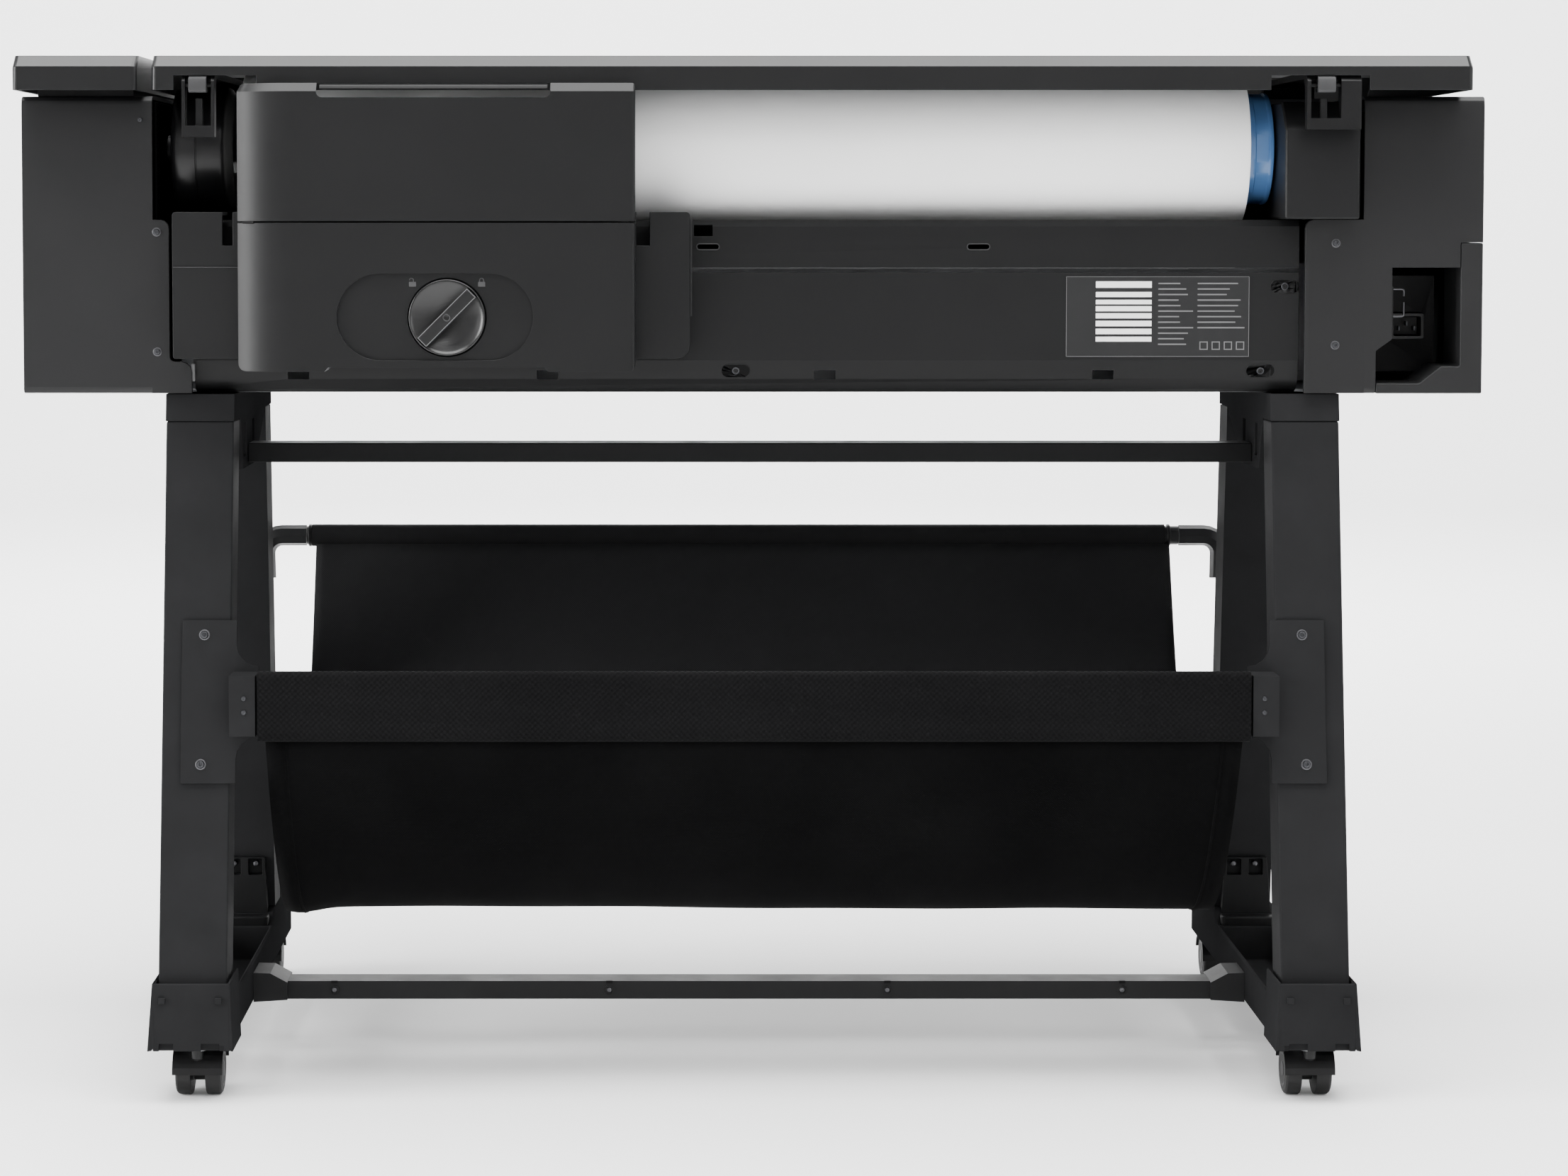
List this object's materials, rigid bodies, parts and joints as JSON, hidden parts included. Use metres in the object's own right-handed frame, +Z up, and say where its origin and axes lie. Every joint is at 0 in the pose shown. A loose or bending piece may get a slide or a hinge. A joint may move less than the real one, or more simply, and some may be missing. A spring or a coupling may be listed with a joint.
{
  "type": "large format plotter",
  "caption": "Roll-fed wide format inkjet plotter on a wheeled stand with rear sheet feeder, hinged lid and fabric stacking bin.",
  "frame": {"origin": "on the floor under the middle of the machine's bounding box", "axes": "+X to the right as seen from the rear, +Y towards the user, +Z up"},
  "size_m": [1.317, 0.605, 0.932],
  "materials": {
    "body_plastic": "fine moulded texture",
    "lid_plastic": "fine moulded texture",
    "stand_metal": "matt black powder coat",
    "zinc_steel": "zinc plated",
    "black_plastic": "satin",
    "wheel_rubber": "matt",
    "bin_fabric": "woven polyester",
    "roll_paper": "matt",
    "hub_blue": "semi-gloss",
    "display_glass": "gloss",
    "ink_plastic": "satin"
  },
  "bodies": {
    "root": {"base_beam_left": "stand_metal", "base_beam_right": "stand_metal", "bin_bracket_left": "stand_metal", "bin_bracket_right": "stand_metal", "bin_rear_bar": "stand_metal", "bin_sling": "bin_fabric", "bottom_tray": "stand_metal", "carriage_beam": "zinc_steel", "control_housing": "lid_plastic", "corner_cover": "body_plastic", "display_panel": "display_glass", "end_cover_left": "body_plastic", "end_cover_right": "body_plastic", "feeder_housing": "body_plastic", "foot_cap_left": "stand_metal", "foot_cap_right": "stand_metal", "front_cover": "body_plastic", "front_leg_left": "stand_metal", "front_leg_right": "stand_metal", "ink_supply_rack": "ink_plastic", "leg_head_left": "stand_metal", "leg_head_right": "stand_metal", "lid_hinge_left": "black_plastic", "lid_hinge_right": "black_plastic", "lower_crossbar": "stand_metal", "main_beam": "zinc_steel", "platen": "black_plastic", "power_supply": "stand_metal", "rear_leg_left": "stand_metal", "rear_leg_right": "stand_metal", "rear_panel_lower": "body_plastic", "rear_panel_upper": "body_plastic", "service_station": "black_plastic", "side_plate_left": "zinc_steel", "side_plate_right": "zinc_steel", "spindle_block": "body_plastic", "upper_crossbar": "stand_metal"},
    "lid": {"top_lid": "lid_plastic"},
    "feeder": {"feeder_body": "body_plastic"},
    "flap": {"feeder_flap": "body_plastic"},
    "knob": {"lock_knob": "black_plastic"},
    "roll": {"paper_roll": "roll_paper", "spindle_shaft": "zinc_steel", "spindle_hub": "hub_blue", "spindle_drum": "black_plastic"},
    "carriage": {"carriage": "black_plastic"},
    "feed_roller": {"feed_roller": "wheel_rubber"},
    "ink_door": {"ink_door": "body_plastic"},
    "power_button": {"power_button": "black_plastic"},
    "bin_frame": {"bin_front_tube": "stand_metal", "bin_side_rod_left": "black_plastic", "bin_side_rod_right": "black_plastic"},
    "caster_rear_left": {"caster_fork_rear_left": "black_plastic"},
    "wheels_rear_left": {"caster_wheels_rear_left": "wheel_rubber"},
    "caster_rear_right": {"caster_fork_rear_right": "black_plastic"},
    "wheels_rear_right": {"caster_wheels_rear_right": "wheel_rubber"},
    "caster_front_left": {"caster_fork_front_left": "black_plastic"},
    "wheels_front_left": {"caster_wheels_front_left": "wheel_rubber"},
    "caster_front_right": {"caster_fork_front_right": "black_plastic"},
    "wheels_front_right": {"caster_wheels_front_right": "wheel_rubber"}
  },
  "joints": [
    {"name": "lid_hinge", "type": "hinge", "parent": "root", "child": "lid", "pos_m": [0, -0.2555, 0.9055], "axis": [1, 0, 0], "range_deg": [0, 55]},
    {"name": "feeder_slide", "type": "slide", "parent": "root", "child": "feeder", "axis": [0, -1, 0], "range_m": [0, 0.12]},
    {"name": "flap_hinge", "type": "hinge", "parent": "feeder", "child": "flap", "pos_m": [-0.28, -0.2855, 0.789], "axis": [1, 0, 0], "range_deg": [0, 70]},
    {"name": "knob_turn", "type": "hinge", "parent": "feeder", "child": "knob", "pos_m": [-0.2716, -0.2905, 0.7], "axis": [0, -1, 0], "range_deg": [0, 90]},
    {"name": "roll_spin", "type": "hinge", "parent": "root", "child": "roll", "pos_m": [0, -0.14, 0.851], "axis": [1, 0, 0], "continuous": true},
    {"name": "carriage_slide", "type": "slide", "parent": "root", "child": "carriage", "axis": [-1, 0, 0], "range_m": [0, 0.98]},
    {"name": "feed_roller_spin", "type": "hinge", "parent": "root", "child": "feed_roller", "pos_m": [0, 0.038, 0.789], "axis": [1, 0, 0], "continuous": true},
    {"name": "ink_door_hinge", "type": "hinge", "parent": "root", "child": "ink_door", "pos_m": [0.608, 0.3012, 0.7045], "axis": [-1, 0, 0], "range_deg": [0, 85]},
    {"name": "power_button_press", "type": "slide", "parent": "root", "child": "power_button", "axis": [0, 0, -1], "range_m": [0, 0.0015], "stiffness_N_per_m": 300, "springref_m": -0.0005},
    {"name": "bin_frame_hinge", "type": "hinge", "parent": "root", "child": "bin_frame", "pos_m": [0, 0.13, 0.335], "axis": [-1, 0, 0], "range_deg": [0, 50]},
    {"name": "swivel_rear_left", "type": "hinge", "parent": "root", "child": "caster_rear_left", "pos_m": [-0.4975, -0.272, 0.0475], "axis": [0, 0, 1], "continuous": true},
    {"name": "wheel_spin_rear_left", "type": "hinge", "parent": "caster_rear_left", "child": "wheels_rear_left", "pos_m": [-0.4975, -0.258, 0.0225], "axis": [1, 0, 0], "continuous": true},
    {"name": "swivel_rear_right", "type": "hinge", "parent": "root", "child": "caster_rear_right", "pos_m": [0.4975, -0.272, 0.0475], "axis": [0, 0, 1], "continuous": true},
    {"name": "wheel_spin_rear_right", "type": "hinge", "parent": "caster_rear_right", "child": "wheels_rear_right", "pos_m": [0.4975, -0.258, 0.0225], "axis": [1, 0, 0], "continuous": true},
    {"name": "swivel_front_left", "type": "hinge", "parent": "root", "child": "caster_front_left", "pos_m": [-0.4975, 0.205, 0.0475], "axis": [0, 0, 1], "continuous": true},
    {"name": "wheel_spin_front_left", "type": "hinge", "parent": "caster_front_left", "child": "wheels_front_left", "pos_m": [-0.4975, 0.219, 0.0225], "axis": [1, 0, 0], "continuous": true},
    {"name": "swivel_front_right", "type": "hinge", "parent": "root", "child": "caster_front_right", "pos_m": [0.4975, 0.205, 0.0475], "axis": [0, 0, 1], "continuous": true},
    {"name": "wheel_spin_front_right", "type": "hinge", "parent": "caster_front_right", "child": "wheels_front_right", "pos_m": [0.4975, 0.219, 0.0225], "axis": [1, 0, 0], "continuous": true}
  ]
}
